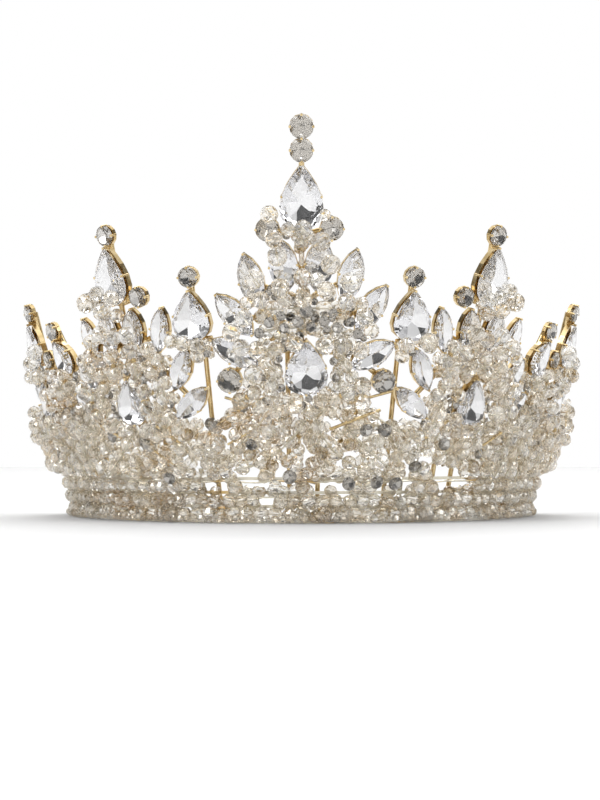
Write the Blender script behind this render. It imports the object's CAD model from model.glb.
import math
import random

import bmesh
import bpy
import numpy as np
from mathutils import Matrix, Vector


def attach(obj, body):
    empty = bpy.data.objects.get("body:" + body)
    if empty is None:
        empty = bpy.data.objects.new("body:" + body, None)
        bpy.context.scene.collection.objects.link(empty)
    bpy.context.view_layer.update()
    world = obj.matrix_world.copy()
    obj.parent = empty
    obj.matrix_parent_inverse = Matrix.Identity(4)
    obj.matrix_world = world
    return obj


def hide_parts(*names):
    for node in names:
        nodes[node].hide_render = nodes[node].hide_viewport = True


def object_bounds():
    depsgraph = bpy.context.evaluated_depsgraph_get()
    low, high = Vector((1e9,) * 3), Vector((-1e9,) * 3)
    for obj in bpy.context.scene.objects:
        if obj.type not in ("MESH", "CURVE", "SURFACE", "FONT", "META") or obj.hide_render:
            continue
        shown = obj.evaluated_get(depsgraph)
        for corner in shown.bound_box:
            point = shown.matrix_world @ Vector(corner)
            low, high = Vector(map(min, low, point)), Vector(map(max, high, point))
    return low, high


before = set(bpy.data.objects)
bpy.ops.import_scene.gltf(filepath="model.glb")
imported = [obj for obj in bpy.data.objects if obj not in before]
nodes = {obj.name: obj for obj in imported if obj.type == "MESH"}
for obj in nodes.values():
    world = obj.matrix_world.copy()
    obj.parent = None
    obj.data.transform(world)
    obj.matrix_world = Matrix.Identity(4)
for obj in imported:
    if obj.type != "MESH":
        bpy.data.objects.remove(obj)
cad_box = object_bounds()
rng = random.Random(7)

# Sizes below are millimetres and degrees, as in the part's source; MM turns them into metres
MM = 0.001
BASE_R = 73.0
FLARE = math.radians(15)
HALF_ARC = 94.0


# The flared wall that every piece sits on. A place on it is an azimuth from the front, a height on the wall and
# a distance out from the wall's middle
def wall_r(z):
    """The wall's radius at a height."""
    return BASE_R + z * math.tan(FLARE)


def on_wall(az, z, off):
    """The point at a place on the wall, in metres."""
    a = math.radians(az)
    r = wall_r(z) + off * math.cos(FLARE)
    return Vector((r * math.sin(a), -r * math.cos(a), z - off * math.sin(FLARE))) * MM


def wall_axes(az):
    """Along the wall, up it and out of it, as the columns of a turn."""
    a = math.radians(az)
    along = Vector((math.cos(a), math.sin(a), 0))
    up = Vector((math.sin(a) * math.sin(FLARE), -math.cos(a) * math.sin(FLARE), math.cos(FLARE)))
    return Matrix((along, up, along.cross(up))).transposed()


def turn_of(x, z):
    """The azimuth that a distance along the wall comes to at a height."""
    return math.degrees(x / wall_r(z))


def wall_place(point):
    """The azimuth, height on the wall and distance out from it of a point in millimetres."""
    out = math.hypot(point[0], point[1]) - BASE_R - point[2] * math.tan(FLARE)
    off = out * math.cos(FLARE)
    return math.degrees(math.atan2(point[0], -point[1])), point[2] + off * math.sin(FLARE), off


# Modelling helpers
def deselect():
    if bpy.context.object and bpy.context.object.mode != "OBJECT":
        bpy.ops.object.mode_set(mode="OBJECT")
    bpy.ops.object.select_all(action="DESELECT")


def pick(test, kind="verts"):
    """In edit mode, selects the vertices or faces that pass a test and nothing else."""
    mesh = bpy.context.object.data
    bm = bmesh.from_edit_mesh(mesh)
    bpy.ops.mesh.select_all(action="DESELECT")
    for item in getattr(bm, kind):
        if test(item):
            item.select_set(True)
    bm.select_flush_mode()
    bmesh.update_edit_mesh(mesh)


def finish_master(name):
    """Leaves edit mode and names the modelled shape."""
    bpy.ops.object.mode_set(mode="OBJECT")
    bpy.ops.object.shade_flat()
    master = bpy.context.object
    master.name = name
    master.data.name = name
    return master


def joined(name, master, places):
    """Copies a modelled shape to every place, each with its own mesh, and joins the copies into one piece."""
    deselect()
    copies = []
    for place in places:
        copy = master.copy()
        copy.data = master.data.copy()
        copy.data.transform(place)
        bpy.context.collection.objects.link(copy)
        copy.select_set(True)
        copies.append(copy)
    bpy.context.view_layer.objects.active = copies[0]
    bpy.ops.object.join()
    piece = bpy.context.object
    piece.name = name
    piece.data.name = name
    return piece


def settle(piece, slot, *stands_for):
    """Fixes a piece to the crown, with its material's slot and the CAD nodes that it stands for."""
    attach(piece, "root")
    if stands_for:
        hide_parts(*stands_for)


# Materials
def new_material(name):
    mat = bpy.data.materials.new(name)
    mat.use_nodes = True
    return mat, mat.node_tree.nodes, mat.node_tree.links, mat.node_tree.nodes["Principled BSDF"]


def object_noise(ns, links, scale, detail):
    coords = ns.new("ShaderNodeTexCoord")
    noise = ns.new("ShaderNodeTexNoise")
    noise.inputs["Scale"].default_value = scale
    noise.inputs["Detail"].default_value = detail
    links.new(coords.outputs["Object"], noise.inputs["Vector"])
    return noise


def add_bump(ns, links, shader, height, strength, distance):
    bump = ns.new("ShaderNodeBump")
    bump.inputs["Strength"].default_value = strength
    bump.inputs["Distance"].default_value = distance
    links.new(height, bump.inputs["Height"])
    links.new(bump.outputs["Normal"], shader.inputs["Normal"])


def remap(ns, links, value, low, high):
    """A value from 0 to 1 spread from low to high."""
    spread = ns.new("ShaderNodeMapRange")
    spread.inputs["To Min"].default_value = low
    spread.inputs["To Max"].default_value = high
    links.new(value, spread.inputs["Value"])
    return spread.outputs["Result"]


def two_tones(ns, links, value, dark_at, dark, light_at, light):
    """A blend of two colours, given with the values where each begins."""
    ramp = ns.new("ShaderNodeValToRGB")
    ramp.color_ramp.elements[0].position = dark_at
    ramp.color_ramp.elements[0].color = (*dark, 1)
    ramp.color_ramp.elements[1].position = light_at
    ramp.color_ramp.elements[1].color = (*light, 1)
    links.new(value, ramp.inputs["Fac"])
    return ramp.outputs["Color"]


def champagne_gold():
    """Pale polished cast gold with slight casting waves and thinner, darker plating in places."""
    mat, ns, links, shader = new_material("champagne_gold")
    shader.inputs["Metallic"].default_value = 1.0
    patches = object_noise(ns, links, 420, 3)
    tone = two_tones(ns, links, patches.outputs["Fac"], 0.3, (0.5, 0.36, 0.16), 0.65, (0.8, 0.64, 0.37))
    links.new(tone, shader.inputs["Base Color"])
    links.new(remap(ns, links, patches.outputs["Fac"], 0.14, 0.34), shader.inputs["Roughness"])
    add_bump(ns, links, shader, object_noise(ns, links, 900, 2).outputs["Fac"], 0.25, 0.0001)
    return mat


def pale_wire():
    """Thin plated wire: mostly pale, with worn amber stretches."""
    mat, ns, links, shader = new_material("pale_wire")
    shader.inputs["Metallic"].default_value = 1.0
    wear = object_noise(ns, links, 70, 2)
    tone = two_tones(ns, links, wear.outputs["Fac"], 0.34, (0.6, 0.42, 0.17), 0.44, (0.75, 0.7, 0.58))
    links.new(tone, shader.inputs["Base Color"])
    links.new(remap(ns, links, wear.outputs["Fac"], 0.2, 0.35), shader.inputs["Roughness"])
    return mat


def clear_crystal():
    """The glass of a cut stone, very slightly rubbed."""
    mat, ns, links, shader = new_material("clear_crystal")
    shader.inputs["Transmission Weight"].default_value = 1.0
    shader.inputs["IOR"].default_value = 1.56
    shader.inputs["Base Color"].default_value = (0.95, 0.95, 0.945, 1)
    rubbed = object_noise(ns, links, 300, 2)
    links.new(remap(ns, links, rubbed.outputs["Fac"], 0.0, 0.03), shader.inputs["Roughness"])
    return mat


def foil(name, tone, smooth, rough):
    """The mirror foil on the back of a stone."""
    mat, ns, links, shader = new_material(name)
    shader.inputs["Metallic"].default_value = 1.0
    shader.inputs["Base Color"].default_value = (*tone, 1)
    rubbed = object_noise(ns, links, 500, 2)
    links.new(remap(ns, links, rubbed.outputs["Fac"], smooth, rough), shader.inputs["Roughness"])
    return mat


def bead_crystal():
    """The coated glass of the beads, some of them smokier or more amber than others."""
    mat, ns, links, shader = new_material("bead_crystal")
    shader.inputs["Transmission Weight"].default_value = 1.0
    shader.inputs["IOR"].default_value = 1.52
    coat = object_noise(ns, links, 120, 1)
    links.new(remap(ns, links, coat.outputs["Fac"], 0.0, 0.34), shader.inputs["Metallic"])
    tints = object_noise(ns, links, 160, 1)
    tone = two_tones(ns, links, tints.outputs["Fac"], 0.35, (0.95, 0.9, 0.815), 0.6, (1.0, 0.995, 0.98))
    links.new(tone, shader.inputs["Base Color"])
    links.new(remap(ns, links, tints.outputs["Fac"], 0.0, 0.06), shader.inputs["Roughness"])
    return mat


GOLD = champagne_gold()
WIRE = pale_wire()
CRYSTAL = clear_crystal()
FOIL = foil("foil", (0.9, 0.9, 0.91), 0.01, 0.06)
DARK_FOIL = foil("dark_foil", (0.7, 0.68, 0.65), 0.02, 0.1)
SMOKE_FOIL = foil("smoke_foil", (0.6, 0.58, 0.55), 0.02, 0.1)
BEAD = bead_crystal()


# Stones: a tall prism with the stone's outline is cut facet by facet, as a cutter grinds one
CROWN_MAIN, CROWN_RIM, CROWN_STAR = math.radians(34), math.radians(42), math.radians(20)
# How far the main facets stand over the rim's, and what part of their width the star facets reach in
MAIN_LIFT, STAR_REACH = 0.018, 0.84
# Tilts of the back's facets, one and the other by turns
BACK_TILTS = {"round": (22, 29), "pear": (18, 20), "marquise": (18, 20)}
# Each kind's length, and the heights of the girdle's edge and of the table, all in widths of the stone
LONG = {"round": 1.0, "pear": 1.3, "marquise": 2.0}
GIRDLE_H, TABLE_H = 0.03, 0.135
# How full a pear's outline is, and the length of the pair of arcs that a marquise's outline follows
PEAR_FULL, ARC_L = 0.77, 2.14


def waist(kind, t):
    """How much of a circle's width is left at an angle t from the tip."""
    if kind == "pear":
        return math.sin(t / 2) / PEAR_FULL
    if kind == "marquise":
        r = (1 + ARC_L * ARC_L) / 4
        y = ARC_L / 2 * math.cos(t)
        return (math.sqrt(max(r * r - y * y, 0)) - r + 0.5) / (0.5 * max(math.sin(t), 1e-6))
    return 1.0


def cut(point, normal):
    """Grinds away what lies beyond a plane."""
    bpy.ops.mesh.select_all(action="SELECT")
    bpy.ops.mesh.bisect(plane_co=point, plane_no=normal, use_fill=True, clear_outer=True)


def tilted_from(n, tilt, up=1):
    """The normal of a facet that leans out over the side n."""
    return n.x * math.sin(tilt), n.y * math.sin(tilt), up * math.cos(tilt)


def cut_stone(kind, edges):
    """A stone one unit wide with its girdle at z = 0 and its tip along +y."""
    length = LONG[kind]
    deselect()
    bpy.ops.mesh.primitive_cylinder_add(vertices=edges, radius=0.5, depth=1.4)
    bpy.ops.object.mode_set(mode="EDIT")
    rows = sorted({round(0.5 * math.cos(math.tau * i / edges), 6) for i in range(edges)})
    for y in rows[1:-1]:
        pick(lambda v: abs(v.co.y - y) < 1e-4)
        k = waist(kind, math.acos(max(-1.0, min(1.0, 2 * y))))
        bpy.ops.transform.resize(value=(k, 1, 1), center_override=(0, 0, 0))
    bpy.ops.mesh.select_all(action="SELECT")
    bpy.ops.transform.resize(value=(1, length, 1), center_override=(0, 0, 0))
    bm = bmesh.from_edit_mesh(bpy.context.object.data)
    walls = []
    for f in bm.faces:
        if abs(f.normal.z) < 0.1:
            bearing = math.atan2(f.normal.x, f.normal.y) % math.tau
            walls.append((bearing, f.calc_center_median().to_2d(), f.normal.to_2d()))
    walls.sort(key=lambda w: w[0])
    cut((0, 0, TABLE_H), (0, 0, 1))
    for i, (_bearing, c, n) in enumerate(walls):
        cut((c.x, c.y, GIRDLE_H), tilted_from(n, CROWN_RIM))
        if i % 2:
            cut((c.x, c.y, GIRDLE_H + MAIN_LIFT), tilted_from(n, CROWN_MAIN))
            cut((c.x, c.y, 0), tilted_from(n, math.radians(BACK_TILTS[kind][i // 2 % 2]), -1))
    inset = TABLE_H / math.tan(CROWN_MAIN) * STAR_REACH
    for _bearing, c, n in walls[::2]:
        d = c.dot(n) - inset
        cut((n.x * d, n.y * d, TABLE_H), tilted_from(n, CROWN_STAR))
    bpy.ops.mesh.select_all(action="SELECT")
    bpy.ops.mesh.remove_doubles(threshold=0.004)
    bpy.ops.mesh.normals_make_consistent(inside=False)
    stone = finish_master("stone_" + kind)
    stone.data.materials.append(CRYSTAL)
    stone.data.materials.append(DARK_FOIL if kind == "round" else FOIL)
    for f in stone.data.polygons:
        f.material_index = 1 if f.normal.z < -0.2 else 0
    return stone


# Edges of each kind's girdle
GIRDLES = {"round": 16, "pear": 20, "marquise": 16}
stone_masters = {kind: cut_stone(kind, edges) for kind, edges in GIRDLES.items()}


def loose_solids(obj):
    """The welded points of each loose solid of a CAD node, in millimetres."""
    mesh = obj.data
    points = np.empty(len(mesh.vertices) * 3)
    mesh.vertices.foreach_get("co", points)
    points = points.reshape(-1, 3) / MM
    keys, weld = np.unique(np.round(points, 2), axis=0, return_inverse=True)
    weld = weld.ravel()
    group = list(range(len(keys)))

    def root(i):
        while group[i] != i:
            group[i] = group[group[i]]
            i = group[i]
        return i

    for p in mesh.polygons:
        corners = [root(weld[v]) for v in p.vertices]
        for c in corners[1:]:
            group[c] = corners[0]
            corners = [root(c) for c in corners]
    solids = {}
    for i, key in enumerate(keys):
        solids.setdefault(root(i), []).append(key)
    return [np.array(s) for s in solids.values()]


# How a CAD stone's kind is told: a pear's corners, and how much more a marquise spreads lengthwise than across
PEAR_POINTS, MARQUISE_SPREAD = 41, 1.3
# What a foiled stone adds in width and length, so that it covers its setting but for a hair of gold
COVER = {"round": (1.4, 1.4), "pear": (1.4, 1.8), "marquise": (1.4, 1.8)}
GIRDLE_LIFT = 0.3


def read_stone(points):
    """A CAD stone's kind, the middle of its girdle, its azimuth, width and length, and how far it leans."""
    mid = points.mean(axis=0)
    az = math.degrees(math.atan2(mid[0], -mid[1]))
    axes = np.array(wall_axes(az))
    flat = (points - mid) @ axes
    xy = flat[:, :2]
    values, vectors = np.linalg.eigh(np.cov(xy.T))
    kind = "marquise" if values[1] > MARQUISE_SPREAD * values[0] else "round"
    if len(points) == PEAR_POINTS:
        kind = "pear"
    lean = 0.0
    if kind != "round":
        long_axis = vectors[:, 1] * (1 if vectors[1, 1] > 0 else -1)
        lean = math.atan2(long_axis[0], long_axis[1])
    if kind == "pear":
        across = xy @ np.array([math.cos(lean), -math.sin(lean)])
        along = xy @ np.array([math.sin(lean), math.cos(lean)])
        along = along - (along.max() + along.min()) / 2
        if (np.abs(across) * along).sum() > 0:
            lean += math.pi
    turn = np.array([[math.cos(lean), math.sin(lean)], [-math.sin(lean), math.cos(lean)]])
    local = xy @ turn
    low, high = local.min(axis=0), local.max(axis=0)
    middle = turn @ ((low + high) / 2)
    girdle = np.unique(np.round(flat[:, 2], 1))[1]
    centre = mid + axes @ np.array([middle[0], middle[1], girdle])
    width, length = high - low
    return {"kind": kind, "centre": centre, "az": az, "width": width, "length": length, "lean": lean}


def stone_place(s):
    """Where a finely cut stone goes to cover a CAD stone."""
    more_w, more_l = COVER[s["kind"]]
    width = s["width"] + more_w
    turn = wall_axes(s["az"]).to_4x4() @ Matrix.Rotation(-s["lean"], 4, "Z")
    size = Matrix.Diagonal((width * MM, (s["length"] + more_l) / LONG[s["kind"]] * MM, width * MM, 1))
    return Matrix.Translation((Vector(s["centre"]) + turn.col[2].to_3d() * GIRDLE_LIFT) * MM) @ turn @ size


# Each CAD stone gives way to a finely cut one in the same place
STONE_ENDINGS = ("_stones", "_stone", "_stone_r", "_stone_l", "_leaf_r", "_leaf_l")
all_stones = []
for node in sorted(nodes):
    if not (node.endswith(STONE_ENDINGS) or node.startswith("far_round")):
        continue
    stones = [read_stone(points) for points in loose_solids(nodes[node])]
    all_stones += stones
    parts = []
    for kind, master in stone_masters.items():
        places = [stone_place(s) for s in stones if s["kind"] == kind]
        if places:
            parts.append(joined(node + "_" + kind, master, places))
    deselect()
    for part in parts:
        part.select_set(True)
    bpy.context.view_layer.objects.active = parts[0]
    if len(parts) > 1:
        bpy.ops.object.join()
    piece = bpy.context.object
    piece.name = node + "_cut"
    settle(piece, "crystal", node)


# Beads: a drum with its ends drawn in twice, each ring turned half a side so that the facets are triangles, and
# the wire it is strung on
BEAD_SIDES, CORE_R = 8, 0.03


def cut_bead():
    """A faceted bead about one unit across and one long, on a short stretch of wire."""
    deselect()
    bpy.ops.mesh.primitive_cylinder_add(vertices=BEAD_SIDES, radius=0.5, depth=0.26)
    bpy.ops.object.mode_set(mode="EDIT")
    half_side = math.pi / BEAD_SIDES
    for end in (1, -1):
        ring, z = 0.5, 0.13
        for radius, height in ((0.41, 0.32), (0.2, 0.47)):
            pick(lambda f: f.normal.z * end > 0.9, "faces")
            bpy.ops.mesh.extrude_region_move(TRANSFORM_OT_translate={"value": (0, 0, end * (height - z))})
            drawn_in = radius / ring
            bpy.ops.transform.resize(value=(drawn_in, drawn_in, 1), center_override=(0, 0, end * height))
            bpy.ops.transform.rotate(value=half_side, orient_axis="Z", center_override=(0, 0, 0))
            ring, z = radius, height
    bpy.ops.mesh.select_all(action="SELECT")
    bpy.ops.mesh.quads_convert_to_tris(quad_method="SHORTEST_DIAGONAL")
    bpy.ops.mesh.primitive_cylinder_add(vertices=5, radius=CORE_R, depth=0.9)
    bpy.ops.mesh.select_all(action="SELECT")
    bpy.ops.mesh.normals_make_consistent(inside=False)
    bead = finish_master("bead")
    bead.data.materials.append(BEAD)
    bead.data.materials.append(WIRE)
    for f in bead.data.polygons:
        reach = max(math.hypot(*bead.data.vertices[v].co.xy) for v in f.vertices)
        f.material_index = 1 if reach < 1.1 * CORE_R else 0
    return bead


def cut_wire():
    """A six-sided stretch of wire one unit long and one unit across."""
    deselect()
    bpy.ops.mesh.primitive_cylinder_add(vertices=6, radius=0.5, depth=1)
    bpy.ops.object.mode_set(mode="EDIT")
    pick(lambda f: abs(f.normal.z) > 0.9, "faces")
    bpy.ops.mesh.inset(thickness=0.12)
    bpy.ops.transform.resize(value=(1, 1, 1.04), center_override=(0, 0, 0))
    bpy.ops.mesh.select_all(action="SELECT")
    bpy.ops.transform.translate(value=(0, 0, 0.5))
    wire = finish_master("wire")
    wire.data.materials.append(WIRE)
    return wire


def cut_tie():
    """A turn of wire round a crossing, one unit across."""
    deselect()
    bpy.ops.mesh.primitive_torus_add(major_segments=9, minor_segments=5, major_radius=0.38, minor_radius=0.12)
    bpy.ops.object.mode_set(mode="EDIT")
    bpy.ops.mesh.select_all(action="SELECT")
    bpy.ops.transform.resize(value=(1, 0.86, 1.25), center_override=(0, 0, 0))
    tie = finish_master("tie")
    tie.data.materials.append(GOLD)
    return tie


bead_master = cut_bead()
wire_master = cut_wire()
tie_master = cut_tie()


def wire_place(a, b, d):
    """The place of a stretch of wire from a to b."""
    v = b - a
    turn = v.to_track_quat("Z", "Y").to_matrix().to_4x4()
    return Matrix.Translation(a) @ turn @ Matrix.Diagonal((d * MM, d * MM, v.length, 1))


def bead_place(centre, axis, d, stretch=1.0):
    """The place of a bead strung along an axis, turned at random on its wire."""
    turn = axis.to_track_quat("Z", "Y").to_matrix().to_4x4()
    spin = Matrix.Rotation(rng.uniform(0, math.tau), 4, "Z")
    return Matrix.Translation(centre) @ turn @ spin @ Matrix.Diagonal((d * MM, d * MM, d * stretch * MM, 1))


# See-through gaps of the band and the net: azimuth, height, width along the wall and height
GAPS = [
    (-21.5, 16.6, 3.6, 3.6), (-9.5, 16.2, 2.8, 3.8), (-4.5, 15.4, 3.0, 4.4), (-18.2, 10.8, 3.8, 2.2),
    (-8.3, 11.0, 2.4, 2.0), (-11.9, 12.4, 2.4, 4.6), (-3.1, 11.6, 2.4, 2.6), (4.3, 10.6, 4.8, 2.8),
    (8.9, 10.6, 3.0, 2.2), (18.8, 10.2, 2.0, 2.4), (22.8, 10.6, 4.6, 1.8), (24.1, 15.0, 3.8, 2.9),
    (25.6, 18.0, 2.4, 2.0), (28.2, 18.9, 2.0, 2.8), (31.3, 15.8, 2.2, 5.0), (35.4, 15.2, 4.0, 2.8),
    (34.0, 10.6, 3.2, 2.6), (37.7, 11.6, 2.0, 2.8), (41.4, 12.3, 2.0, 2.2), (25.0, 22.7, 2.2, 2.4),
    (-26.6, 6.3, 1.8, 2.3), (-8.4, 6.3, 2.0, 1.8), (-38.0, 21.1, 2.4, 2.2), (-43.5, 15.8, 3.4, 1.9),
    (-49.8, 16.4, 2.4, 2.0), (-24.9, 27.0, 2.0, 4.0), (-22.9, 24.3, 2.4, 1.8), (-31.7, 22.6, 2.2, 1.8),
    (-26.2, 20.1, 1.8, 2.9), (-1.3, 32.2, 2.8, 2.3), (6.1, 29.8, 2.4, 2.1), (9.0, 27.9, 2.4, 2.3),
    (12.8, 26.5, 2.1, 2.8), (-14.7, 26.6, 2.6, 2.6), (-15.5, 22.1, 2.8, 2.4), (-12.0, 20.4, 2.4, 3.4),
    (-2.4, 21.4, 4.0, 2.2), (1.0, 20.3, 3.6, 3.2), (5.9, 24.4, 1.8, 4.4), (10.1, 18.7, 5.4, 3.2),
    (17.1, 23.6, 2.4, 4.0), (52, 17.4, 2.2, 2.2), (-60, 16.6, 2.2, 2.0), (66, 17.2, 2.4, 2.2),
    (72, 12.4, 2.2, 2.0), (-72, 17.2, 2.4, 2.2), (80, 18.0, 2.4, 2.4), (-80, 12.2, 2.4, 2.2),
    (88, 16.2, 2.4, 2.4), (-88, 18.2, 2.4, 2.4)]
# How far a bead keeps from a gap, in quarters of its diameter
GAP_EDGE = 1.25


def in_gap(az, z, d):
    """Whether a bead would close one of the gaps."""
    grown = GAP_EDGE * d / 4
    for g_az, g_z, w, h in GAPS:
        x = math.radians(az - g_az) * wall_r(z)
        if (x / (w / 2 + grown)) ** 2 + ((z - g_z) / (h / 2 + grown)) ** 2 < 1:
            return True
    return False


# What is already in the way: the stones in their settings, and every bead placed so far
settings = []
for s in all_stones:
    az, z, _off = wall_place(s["centre"])
    settings.append({**s, "az": az, "z": z})
taken = []
# A setting's rim round its stone, at its sides and at its ends, and how near a bead may come to it
RIM_W, RIM_L = 0.8, 1.0
BEAD_NEAR = 0.36
# Beads in front may cover the foot of a marquise or of a high pear. The part that they leave free: how far its
# middle lies over the stone's, as a part of the stone's length, and what is left of that length
UNCOVERED = {"marquise": (0.24, 0.56), "pear": (0.2, 0.68)}
# Pears under this height are the drops, which no bead covers
DROPS_BELOW = 49
# No stone reaches farther than this
STONE_REACH = 14


def over_stone(az, z, d, in_front):
    """Whether a bead would cover a stone."""
    for s in settings:
        x, y = math.radians(az - s["az"]) * wall_r(z), z - s["z"]
        if max(abs(x), abs(y)) > STONE_REACH:
            continue
        across = x * math.cos(s["lean"]) - y * math.sin(s["lean"])
        along = x * math.sin(s["lean"]) + y * math.cos(s["lean"])
        half_w, half_l = s["width"] / 2 + RIM_W, s["length"] / 2 + RIM_L
        if in_front and (s["kind"] == "marquise" or s["kind"] == "pear" and s["z"] > DROPS_BELOW):
            shift, part = UNCOVERED[s["kind"]]
            along -= shift * s["length"]
            half_l *= part
        if (across / (half_w + BEAD_NEAR * d)) ** 2 + (along / (half_l + BEAD_NEAR * d)) ** 2 < 1:
            return True
    return False


BOX_MARGIN = 0.06


def inside_box(p, d):
    """Whether a bead stays within the CAD model's own bounds."""
    reach = (d / 2 + BOX_MARGIN) * MM
    return all(low + reach < v < high - reach for v, low, high in zip(p, *cad_box))


# How near two beads' middles may come, as a part of the sum of their radii
SPACING = 0.86


def throw_beads(tries, draw, spacing=SPACING):
    """Beads as (point, diameter, azimuth), each kept where it lies clear of all earlier beads."""
    points = np.zeros((len(taken) + tries, 3))
    sizes = np.zeros(len(taken) + tries)
    for i, (p, d, az) in enumerate(taken):
        points[i], sizes[i] = p, d
    kept = []
    for _ in range(tries):
        place = draw()
        if place is None:
            continue
        az, z, off, d = place
        p = on_wall(az, z, off)
        n = len(taken)
        if not inside_box(p, d):
            continue
        if (np.linalg.norm(points[:n] - np.array(p), axis=1) < spacing * (sizes[:n] + d) / 2 * MM).any():
            continue
        points[n], sizes[n] = p, d
        taken.append((p, d, az))
        kept.append((p, d, az))
    return kept


def wild_axis(az):
    """A bead's axis in any direction, though seldom straight out."""
    along, up, out = wall_axes(az).col
    return along * rng.uniform(-1, 1) + up * rng.uniform(-1, 1) + out * rng.uniform(-0.5, 0.5)


def string_up(name, beads, *stands_for):
    """Makes one piece of beads at these places."""
    places = [bead_place(p, wild_axis(az), d) for p, d, az in beads]
    settle(joined(name, bead_master, places), "beads", *stands_for)


# Loose CAD beads become faceted ones in the same places
for node in sorted(n for n in nodes if n.endswith("_beads")):
    beads = []
    for points in loose_solids(nodes[node]):
        middle = (points.min(axis=0) + points.max(axis=0)) / 2
        beads.append((Vector(middle) * MM, float(np.ptp(points, axis=0).max()), wall_place(middle)[0]))
    taken.extend(beads)
    string_up(node + "_cut", beads, node)

# Little dark-backed stones among the beads: azimuth, height, distance out, width
SPARKS = [
    (-5.4, 59.4, 8.0, 3.2), (-2.9, 57.9, 8.2, 3.0), (-0.6, 59.6, 8.0, 3.4), (1.6, 58.2, 8.2, 3.0),
    (3.8, 59.8, 8.0, 3.2), (6.0, 58.0, 8.2, 3.2), (8.2, 59.6, 8.0, 3.0), (0.8, 62.6, 8.2, 4.0),
    (-3.4, 61.2, 8.2, 2.8), (5.2, 62.0, 8.2, 2.8), (-7.2, 56.4, 7.6, 3.0), (9.6, 56.2, 7.6, 3.0),
    (-2.4, 15.0, 4.8, 4.2), (9.7, 13.0, 4.8, 4.0), (15.6, 13.4, 4.8, 4.0), (19.7, 13.0, 4.8, 4.2),
    (23.7, 17.8, 4.8, 4.0), (16.2, 28.6, 5.4, 4.2), (12.5, 28.6, 5.4, 4.0), (-9.8, 24.4, 5.2, 3.6),
    (-17.6, 30.4, 5.0, 3.8), (-28.4, 14.4, 4.8, 3.8), (-33.0, 25.0, 5.2, 3.8), (29.6, 24.6, 5.2, 3.8),
    (38.8, 22.0, 5.2, 3.8), (-41.5, 26.8, 5.2, 3.6), (-52.0, 30.6, 5.4, 3.6), (49.0, 26.0, 5.2, 3.6),
    (61.0, 25.4, 5.2, 3.8), (-66.0, 22.0, 5.0, 3.8)]
# How far the faces of these and of the smaller specks may turn from straight out
SPARK_TILT, SPECK_TILT = 14, 25


def little_stone_place(p, az, d, most):
    """A little stone's place, with its face turned from straight out by at most so many degrees two ways."""
    turn = wall_axes(az).to_4x4()
    for axis in "XY":
        turn = turn @ Matrix.Rotation(math.radians(rng.uniform(-most, most)), 4, axis)
    turn = turn @ Matrix.Rotation(rng.uniform(0, math.tau), 4, "Z")
    return Matrix.Translation(p) @ turn @ Matrix.Diagonal((d * MM, d * MM, d * MM, 1))


def set_little_stones(name, places):
    piece = joined(name, stone_masters["round"], places)
    piece.material_slots[1].material = SMOKE_FOIL
    settle(piece, "crystal")


places = []
for az, z, off, d in SPARKS:
    p = on_wall(az, z, off)
    places.append(little_stone_place(p, az, d, SPARK_TILT))
    taken.append((p, d, az))
set_little_stones("sparks", places)

# Larger beads that stand out in front: azimuth, height, distance out, diameter
ACCENTS = [
    (-5.0, 88.6, 6.4, 5.0), (3.6, 88.4, 6.4, 3.4), (-4.3, 82.0, 7.6, 5.0), (3.0, 81.4, 7.6, 5.6),
    (-3.8, 77.6, 8.4, 5.8), (4.6, 75.4, 8.6, 5.6), (-7.6, 71.4, 8.4, 5.8), (0.2, 71.6, 8.0, 5.4),
    (7.8, 70.6, 8.4, 5.6), (-3.4, 69.2, 9.2, 5.4), (4.0, 68.4, 9.2, 5.2), (-1.2, 53.6, 8.0, 5.2),
    (4.0, 53.0, 8.0, 5.4), (-6.6, 65.6, 8.4, 5.2), (7.4, 65.2, 8.4, 5.2), (0.4, 65.8, 9.0, 4.8),
    (-9.6, 60.6, 8.0, 5.0), (10.6, 60.8, 8.0, 5.0), (-10.4, 52.4, 7.8, 5.0), (10.2, 51.6, 7.8, 5.0),
    (-18.2, 53.0, 7.6, 4.8), (18.4, 53.2, 7.6, 4.8), (-40.5, 66.2, 6.6, 5.8), (-36.6, 63.6, 7.6, 5.2),
    (-34.0, 67.4, 7.4, 4.6), (40.2, 66.4, 6.6, 5.6), (36.8, 64.0, 7.4, 5.0), (33.6, 66.8, 7.2, 4.8),
    (-37.6, 57.2, 8.0, 5.4), (-31.8, 56.6, 8.0, 5.2), (37.4, 56.8, 8.0, 5.2), (31.6, 57.2, 8.0, 5.4),
    (-61.5, 53.4, 6.8, 5.0), (-64.4, 50.0, 7.2, 5.2), (62.0, 53.0, 6.8, 5.0), (65.0, 50.2, 7.2, 5.2),
    (-68.4, 46.8, 7.0, 5.0), (68.2, 47.2, 7.0, 5.0)]
# One that would reach past the model's bounds stands less far out
accents = []
for az, z, off, d in ACCENTS:
    while not inside_box(on_wall(az, z, off), d):
        off -= 0.3
    accents.append((on_wall(az, z, off), d, az))
taken.extend(accents)
string_up("large_beads", accents)

# The band: four strings of beads in front, and a finer row behind each space between them
STRING_Z0, STRING_STEP = 2.9, 4.1
# Mean diameter, distance out and stray in height of the rows in front, of those behind and of the lowest one
FRONT_ROW, BACK_ROW, LOWEST_ROW = (4.15, 1.1, 0.3), (3.8, -1.3, 0.3), (2.3, 3.0, 0.1)
LOWEST_Z = 2.1
# Rows under this height run on past the gaps
GAPS_FROM = 4
# Large beads low on the band, by azimuth, and their height, distance out and diameter
LOW_BEADS = (4.7, 9.4, 24.3, 28.8, -31, -58, 49)
LOW_Z, LOW_OFF, LOW_D = 3.6, 2.2, 5.6
END_MARGIN = 1.3


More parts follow.
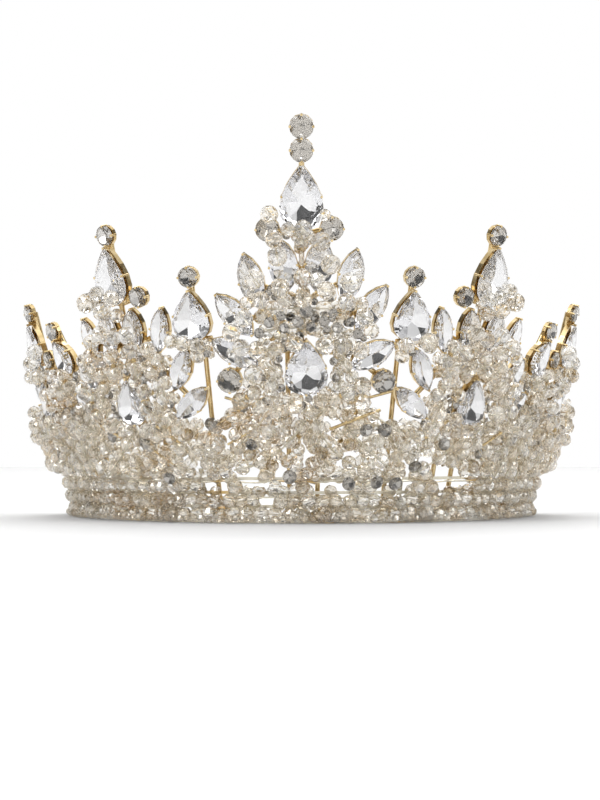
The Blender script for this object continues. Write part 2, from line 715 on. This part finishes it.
def band_row(z0, d0, off0, stray):
    """The places of a row of beads along the band."""
    step = math.degrees(d0 * 0.95 / wall_r(z0))
    count = int(2 * HALF_ARC / step)
    strung = 2 * HALF_ARC - 2 * END_MARGIN
    places = []
    for i in range(count):
        az = -HALF_ARC + END_MARGIN + (i + 0.5 + rng.uniform(-0.14, 0.14)) * strung / count
        z = z0 + rng.uniform(-stray, stray)
        d = d0 * rng.uniform(0.86, 1.12)
        if z0 > GAPS_FROM and in_gap(az, z, d):
            continue
        along, up, out = wall_axes(az).col
        axis = along + up * rng.uniform(-0.35, 0.35) + out * rng.uniform(-0.25, 0.25)
        lowest = d / 2 + 0.25 * off0 + 0.3
        places.append(bead_place(on_wall(az, max(z, lowest), off0 + rng.uniform(-0.4, 0.4)), axis, d, 1.06))
    return places


for row in range(4):
    z0 = STRING_Z0 + row * STRING_STEP
    places = band_row(z0, *FRONT_ROW)
    if row < 3:
        places += band_row(z0 + STRING_STEP / 2, *BACK_ROW)
    if row == 0:
        places += band_row(LOWEST_Z, *LOWEST_ROW)
        places += [bead_place(on_wall(az, LOW_Z, LOW_OFF), wild_axis(az), LOW_D) for az in LOW_BEADS]
    settle(joined(f"band_beads_{row + 1}", bead_master, places), "beads", f"bead_string_{row + 1}")

# The net: three layers of wired beads, thrown in at random wherever there is room and no gap. Its top edge, the
# same on both sides: azimuth and height
NET_TOP = [
    (0, 35), (13, 34), (16, 30), (19, 28), (23, 29.5), (30, 30), (46, 29), (49, 36), (55, 40), (60, 33),
    (76, 33), (79, 37), (89, 37), (91, 28), (95, 27)]
NET_FOOT = 17.4


def net_top(az):
    """The height of the net's top edge."""
    for (a0, z0), (a1, z1) in zip(NET_TOP, NET_TOP[1:]):
        if abs(az) <= a1:
            return z0 + (z1 - z0) * (abs(az) - a0) / (a1 - a0)
    return NET_TOP[-1][1]


def draw_net(off_low, off_high, sizes):
    """Draws places for the net's beads between two distances out."""
    def draw():
        az = rng.uniform(-HALF_ARC + 1.5, HALF_ARC - 1.5)
        z = rng.uniform(NET_FOOT, net_top(az) + 0.6)
        d = rng.choice(sizes)
        if z + d / 2 > net_top(az) + 1.4 or in_gap(az, z, d):
            return None
        return az, z, rng.uniform(off_low, off_high), d
    return draw


NET_TRIES = 7000
net_beads = throw_beads(NET_TRIES, draw_net(0.9, 1.7, (3.8, 4.2, 4.6, 5.0)))
net_beads += throw_beads(NET_TRIES, draw_net(-2.4, -1.6, (3.6, 4.0, 4.4)))
string_up("net_beads", net_beads, "bead_net")
net_over = throw_beads(NET_TRIES, draw_net(4.2, 5.0, (3.8, 4.2, 4.8)))
string_up("net_over", net_over)

# Beads packed in and over the motifs: height, and from where to where along the wall, outwards from the front
FRONT_FILL = [
    (34.5, -19, 18), (41, -17, 17), (46, -12.5, 13), (50, -13.5, 14), (54, -17, 17.5), (58, -19, 19),
    (62, -17.5, 17), (66, -13, 15), (70, -11, 11), (75, -9.5, 9.5), (80, -7, 7), (85, -6, 6)]
FLANK_FILL = [
    (28.5, -17, 19), (32, -14, 15), (38, -14, 15), (44, -15, 15), (48, -14, 14), (53, -11, 12), (58, -8, 9),
    (62, -7, 7), (67, -6, 6), (70, -5, 5)]
END_FILL = [
    (26.5, -12, 16), (32, -11, 13), (38, -11, 13), (43, -10, 12), (47, -8, 9), (51, -6, 6), (55, -4, 4)]
SIDE_FILL = [(28, -8, 5), (34, -5, 4), (38, -4, 3.5), (42, -5, 4), (46, -5, 4)]
SPIRE_FILL = [(49.6, -6.5, 6), (52, -6.5, 6.5), (55, -5.5, 5.5)]


def draw_fill(at, side, fill, off_low, off_high, sizes, in_front):
    """Draws places for beads within a motif's outline that cover no stone."""
    def draw():
        z = rng.uniform(fill[0][0], fill[-1][0])
        for (z0, a0, b0), (z1, a1, b1) in zip(fill, fill[1:]):
            if z <= z1:
                k = (z - z0) / (z1 - z0)
                x = rng.uniform(a0 + (a1 - a0) * k, b0 + (b1 - b0) * k)
                break
        d = rng.choice(sizes)
        az = side * (at + turn_of(x, z))
        if over_stone(az, z, d, in_front):
            return None
        return az, z, rng.uniform(off_low, off_high), d
    return draw


# Distances out of the layers, and the diameters in them
BEHIND, AMONG, BETWEEN, OVER = (1.8, 3.0), (3.4, 6.6), (4.6, 5.4), (7.2, 8.2)
SMALL, MIDDLING, LARGE = (2.2, 2.5, 2.8), (3.6, 4.0, 4.4), (4.2, 4.6, 5.0, 5.4)
LAYERS = ((OVER, True, LARGE), (BETWEEN, False, LARGE), (BEHIND, False, MIDDLING))
LAYER_TRIES, SPECK_TRIES, SPECK_SPACING = 3500, 1200, 0.84
MOTIFS = (
    ("front", 0, (1,), FRONT_FILL), ("flank", 35, (-1, 1), FLANK_FILL), ("end", 65, (-1, 1), END_FILL),
    ("side", 52.5, (-1, 1), SIDE_FILL), ("spire", 19.7, (-1, 1), SPIRE_FILL))
motif_beads = {}
specks = {}
for name, at, sides, fill in MOTIFS:
    for side in sides:
        beads = []
        for off, in_front, sizes in LAYERS:
            beads += throw_beads(LAYER_TRIES, draw_fill(at, side, fill, *off, sizes, in_front))
        key = name if len(sides) == 1 else name + ("_left" if side > 0 else "_right")
        motif_beads[key] = beads
        string_up(key + "_cluster", beads)
        draw_speck = draw_fill(at, side, fill, *AMONG, SMALL, False)
        specks[key] = throw_beads(SPECK_TRIES, draw_speck, SPECK_SPACING)

# Small foiled stones and small beads fill the holes between the large beads
places = []
small_beads = []
for key, small in specks.items():
    share = 0.8 if key == "front" else 0.5
    for p, d, az in small:
        if rng.random() < share:
            places.append(little_stone_place(p, az, d, SPECK_TILT))
        else:
            small_beads.append((p, d, az))
set_little_stones("specks", places)
string_up("small_beads", small_beads)


# Wires of the webs: the longest, their thickness, the share of them that is tied and the step of a tie's turns
LINK_REACH, WEB_D = 6, 0.4
TIED, TIE_STEP = 0.2, 0.45


def links_of(beads):
    """Each bead's middle with that of its nearest neighbour among the beads placed before it."""
    points = np.array([tuple(p) for p, _d, _az in beads])
    links = []
    for i in range(1, len(beads)):
        gaps = np.linalg.norm(points[:i] - points[i], axis=1)
        nearest = np.argsort(gaps)[0]
        if gaps[nearest] < LINK_REACH * MM:
            links.append((beads[i][0], beads[nearest][0]))
    return links


def tie_places(p, q):
    """Three turns of wire side by side round the middle of a stretch of wire."""
    turn = (q - p).to_track_quat("Z", "Y").to_matrix().to_4x4()
    d = rng.uniform(1.5, 2.1) * MM
    places = []
    for k in (-1, 0, 1):
        spin = Matrix.Rotation(rng.uniform(0, math.tau), 4, "Z")
        beside = Matrix.Translation((0, 0, k * TIE_STEP * MM))
        places.append(Matrix.Translation((p + q) / 2) @ turn @ beside @ spin @ Matrix.Diagonal((d, d, d, 1)))
    return places


ties = []
for key, beads in (("net", net_beads + net_over), *motif_beads.items()):
    links = links_of(beads)
    settle(joined(key + "_web", wire_master, [wire_place(p, q, WEB_D) for p, q in links]), "gold")
    for p, q in links:
        if rng.random() < TIED:
            ties += tie_places(p, q)

# Stems that carry the beads between the motifs: azimuth, height and distance out at both ends, and thickness
STEMS = [
    (5.5, 29.2, 6.4, 14.7, 34.5, 6.0, 0.9), (-8.2, 35.5, 6.4, -14.2, 38.0, 5.6, 0.8),
    (8.6, 36.5, 6.4, 17.0, 39.8, 5.4, 0.8), (-20.4, 54.0, 2.6, -16.4, 54.6, 3.2, 1.1),
    (20.4, 54.2, 2.6, 17.4, 53.6, 3.2, 1.1), (-9.6, 28.4, 5.8, -14.4, 24.6, 5.4, 0.7),
    (-24.6, 24.6, 5.0, -29.4, 29.8, 5.4, 0.8), (24.4, 25.6, 5.0, 29.6, 31.4, 5.4, 0.8),
    (39.4, 24.2, 5.4, 45.0, 28.8, 5.6, 0.8), (-38.6, 26.6, 5.6, -44.8, 30.6, 5.6, 0.8),
    (-55.0, 26.4, 5.6, -60.2, 31.4, 6.0, 0.8), (56.2, 27.4, 5.6, 61.0, 31.0, 6.0, 0.8),
    (7.4, 62.4, 6.8, 9.4, 64.6, 6.6, 0.8), (-6.4, 62.6, 6.8, -8.6, 64.4, 6.6, 0.8)]
places = [wire_place(on_wall(*stem[:3]), on_wall(*stem[3:6]), stem[6]) for stem in STEMS]
stems = joined("stems", wire_master, places)
stems.material_slots[0].material = GOLD
settle(stems, "gold")

# The ring between the spire and the hearts, with a long bead above it and one below
ring_at = Matrix.Translation(on_wall(0, 79.6, 6.6)) @ wall_axes(0).to_4x4()
ring_d, inner_d = 2.4 * MM, 1.8 * MM
ties += [ring_at @ Matrix.Diagonal((ring_d, ring_d, ring_d, 1)),
         ring_at @ Matrix.Rotation(math.radians(90), 4, "Y") @ Matrix.Diagonal((inner_d, inner_d, inner_d, 1))]
settle(joined("wire_ties", tie_master, ties), "gold")
up = wall_axes(0).col[1]
places = [bead_place(on_wall(0, z, 6.4), up, 1.7, 2.6) for z in (82.6, 76.6)]
settle(joined("long_beads", bead_master, places), "beads")

# Binding wire round the band between the strings
BINDING_STEP, BINDING_D = 3.1, 0.5
places = []
for z0 in (7.9, 12.4):
    azimuths = np.arange(-HALF_ARC + 1, HALF_ARC, BINDING_STEP)
    stops = [on_wall(az, z0 + rng.uniform(-0.25, 0.25), 0.5) for az in azimuths]
    places += [wire_place(p, q, BINDING_D) for p, q in zip(stops, stops[1:])]
settle(joined("binding_wire", wire_master, places), "gold")

# The CAD metal keeps its shapes
for name in nodes:
    if name.endswith(("_mount", "_wires")) or name == "band_frame":
        for material_slot in nodes[name].material_slots:
            material_slot.material = GOLD if name.endswith("_mount") else WIRE

for master in [*stone_masters.values(), bead_master, wire_master, tie_master]:
    bpy.data.objects.remove(master)


# Floor, light and camera
def plain_floor():
    deselect()
    bpy.ops.mesh.primitive_circle_add(vertices=96, radius=1.3, fill_type="NGON")
    floor = bpy.context.object
    floor.name = "floor"
    mat, _ns, _links, shader = new_material("pale_floor")
    shader.inputs["Base Color"].default_value = (0.93, 0.93, 0.93, 1)
    shader.inputs["Roughness"].default_value = 0.9
    floor.data.materials.append(mat)


def soft_box(name, place, aim, size, power):
    light = bpy.data.lights.new(name, "AREA")
    light.shape = "RECTANGLE"
    light.size, light.size_y = size
    light.energy = power
    lamp = bpy.data.objects.new(name, light)
    bpy.context.collection.objects.link(lamp)
    lamp.location = place
    lamp.rotation_euler = (Vector(aim) - Vector(place)).to_track_quat("-Z", "Y").to_euler()


def math_node(ns, links, operation, first, second):
    """A sum with two values or sockets. A multiply-add adds 0.5."""
    node = ns.new("ShaderNodeMath")
    node.operation = operation
    for socket, value in zip(node.inputs, (first, second, 0.5)):
        if isinstance(value, (int, float)):
            socket.default_value = value
        else:
            links.new(value, socket)
    return node.outputs["Value"]


def grey_ramp(ns, links, value, stops):
    """A grey that follows a value through stops, each a value and its grey."""
    ramp = ns.new("ShaderNodeValToRGB")
    links.new(value, ramp.inputs["Fac"])
    ramp.color_ramp.elements[0].position = stops[0][0]
    ramp.color_ramp.elements[1].position = stops[-1][0]
    for place, _grey in stops[1:-1]:
        ramp.color_ramp.elements.new(place)
    for element, (place, grey) in zip(ramp.color_ramp.elements, stops):
        element.color = (grey, grey, grey, 1)
    return ramp.outputs["Color"]


# Number of dark gaps round the room
GAPS_ROUND = 6


def studio():
    """A white room with a ring of dark gaps between its soft boxes, which the facets need to show."""
    world = bpy.data.worlds.new("studio")
    bpy.context.scene.world = world
    world.use_nodes = True
    ns, links = world.node_tree.nodes, world.node_tree.links
    coords = ns.new("ShaderNodeTexCoord")
    split = ns.new("ShaderNodeSeparateXYZ")
    links.new(coords.outputs["Generated"], split.inputs["Vector"])
    behind = ns.new("ShaderNodeMapRange")
    behind.inputs["From Max"].default_value = 0.6
    behind.inputs["To Max"].default_value = 0.3
    links.new(split.outputs["Y"], behind.inputs["Value"])
    # How dark the ring is by height. Behind the crown it starts higher up
    height = math_node(ns, links, "SUBTRACT", split.outputs["Z"], behind.outputs["Result"])
    ring = grey_ramp(ns, links, height, [(0.0, 0), (0.05, 0), (0.13, 1), (0.86, 1), (0.97, 0.3), (1, 0.3)])
    # Round the room the dark gaps take turns with paler stretches
    bearing = math_node(ns, links, "ARCTAN2", split.outputs["X"], split.outputs["Y"])
    wave = math_node(ns, links, "COSINE", math_node(ns, links, "MULTIPLY", bearing, GAPS_ROUND), 0)
    wave = math_node(ns, links, "MULTIPLY_ADD", wave, 0.5)
    gaps = grey_ramp(ns, links, wave, [(0.0, 0.3), (0.15, 0.3), (0.3, 1), (1, 1)])
    dark = math_node(ns, links, "MULTIPLY", ring, gaps)
    light = math_node(ns, links, "SUBTRACT", 1.0, math_node(ns, links, "MULTIPLY", dark, 0.96))
    # Seen straight from the camera the room stays white
    seen = ns.new("ShaderNodeLightPath").outputs["Is Camera Ray"]
    links.new(math_node(ns, links, "MAXIMUM", light, seen), ns["Background"].inputs["Strength"])
    ns["Background"].inputs["Color"].default_value = (1, 1, 1, 1)


plain_floor()
studio()
AIM = (0, -0.04, 0.05)
soft_box("key", (-0.9, -0.9, 1.3), AIM, (0.7, 0.7), 7)
soft_box("fill", (1.1, -0.7, 1.0), AIM, (0.6, 0.8), 4.5)
soft_box("back", (0.1, 1.2, 1.5), AIM, (1.2, 0.6), 7)
soft_box("ceiling", (0, 0, 2.4), (0, 0.001, 0), (4.4, 4.4), 54)

# The camera's distance and height in millimetres, and its focal length and the picture's height in pixels
CAMERA_FAR, CAMERA_HIGH, FOCUS_PX, FRAME_HIGH_PX = 600, 23, 1798, 800
camera_data = bpy.data.cameras.new("camera")
camera_data.sensor_fit = "AUTO"
camera_data.sensor_width = 36
camera_data.lens = FOCUS_PX / FRAME_HIGH_PX * camera_data.sensor_width
camera = bpy.data.objects.new("camera", camera_data)
bpy.context.collection.objects.link(camera)
camera.location = Vector((0, -CAMERA_FAR, CAMERA_HIGH)) * MM
target = Vector((-0.5, 0, 38)) * MM
camera.rotation_euler = (target - camera.location).to_track_quat("-Z", "Y").to_euler()
bpy.context.scene.camera = camera
bpy.context.scene.view_settings.view_transform = "Standard"
cycles = bpy.context.scene.cycles
cycles.max_bounces, cycles.glossy_bounces, cycles.transmission_bounces = 32, 16, 24
